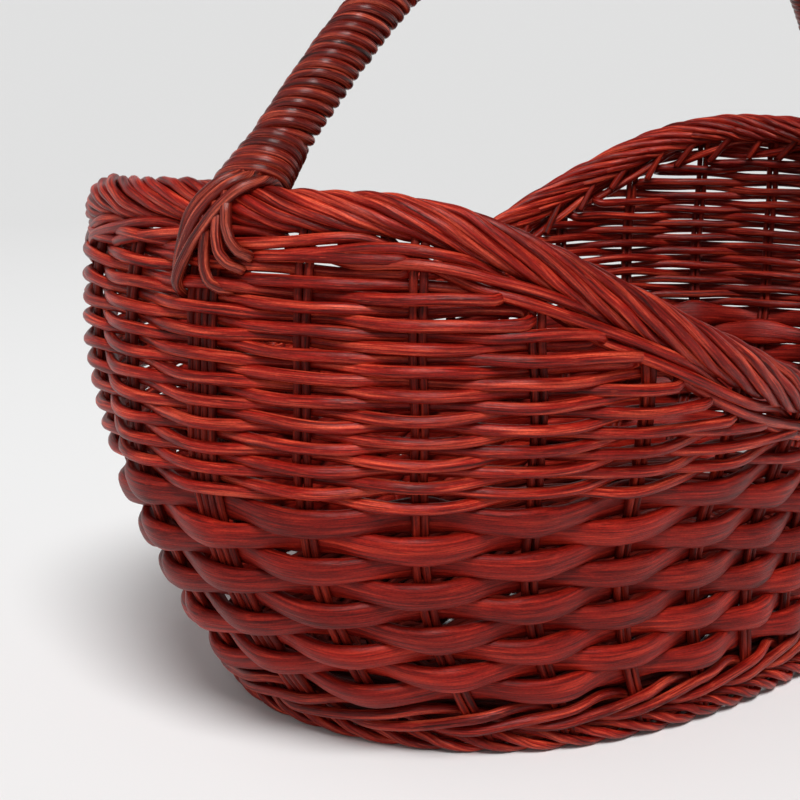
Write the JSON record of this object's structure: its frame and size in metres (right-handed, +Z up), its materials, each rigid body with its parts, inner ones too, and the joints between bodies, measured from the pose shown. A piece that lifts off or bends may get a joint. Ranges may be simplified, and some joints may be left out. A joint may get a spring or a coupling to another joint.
{
  "type": "woven market basket",
  "caption": "Oval wicker market basket with a dipping rim, flat and round rod weave, rolled border and a fixed wrapped bow handle.",
  "frame": {"origin": "on the ground, under the middle of the basket's box", "axes": "+X along the long axis from one handle foot to the other, +Y across, +Z up"},
  "size_m": [0.4681, 0.2616, 0.2991],
  "materials": {
    "round_rods": "red dyed round rattan, satin",
    "flat_rods": "red dyed half-flat rattan with visible grain, satin",
    "stakes": "red dyed round rattan, matt",
    "border_rods": "red dyed round rattan, satin",
    "base_rods": "red dyed rattan, matt",
    "handle_core": "red dyed thick rattan pole",
    "handle_rods": "red-brown dyed rattan wrapping, semi-gloss"
  },
  "bodies": {
    "root": {"foot_border": "round_rods", "base_long_sticks": "base_rods", "base_cross_sticks": "base_rods", "base_weave": "base_rods", "stakes_right_end": "stakes", "stakes_back": "stakes", "stakes_left_end": "stakes", "stakes_front": "stakes", "foot_wale_rod_1": "round_rods", "foot_wale_rod_2": "round_rods", "foot_wale_rod_3": "round_rods", "flat_rod_row_1": "flat_rods", "flat_rod_row_2": "flat_rods", "flat_rod_row_3": "flat_rods", "flat_rod_row_4": "flat_rods", "flat_rod_row_5": "flat_rods", "flat_rod_row_6": "flat_rods", "flat_rod_row_7": "flat_rods", "flat_rod_row_8": "flat_rods", "flat_rod_row_9": "flat_rods", "left_round_rod_rows_1": "round_rods", "left_round_rod_rows_2": "round_rods", "left_round_rod_rows_3": "round_rods", "left_round_rod_rows_4": "round_rods", "left_round_rod_rows_5": "round_rods", "right_round_rod_rows_1": "round_rods", "right_round_rod_rows_2": "round_rods", "right_round_rod_rows_3": "round_rods", "right_round_rod_rows_4": "round_rods", "right_round_rod_rows_5": "round_rods", "rim_wale_rod_1": "round_rods", "rim_wale_rod_2": "round_rods", "rim_wale_rod_3": "round_rods", "border_strand_1": "border_rods", "border_strand_2": "border_rods", "border_strand_3": "border_rods", "handle_bow": "handle_core", "handle_wrap": "handle_rods", "left_handle_collar": "handle_rods", "right_handle_collar": "handle_rods", "left_handle_lashing": "handle_rods", "right_handle_lashing": "handle_rods"}
  },
  "joints": []
}
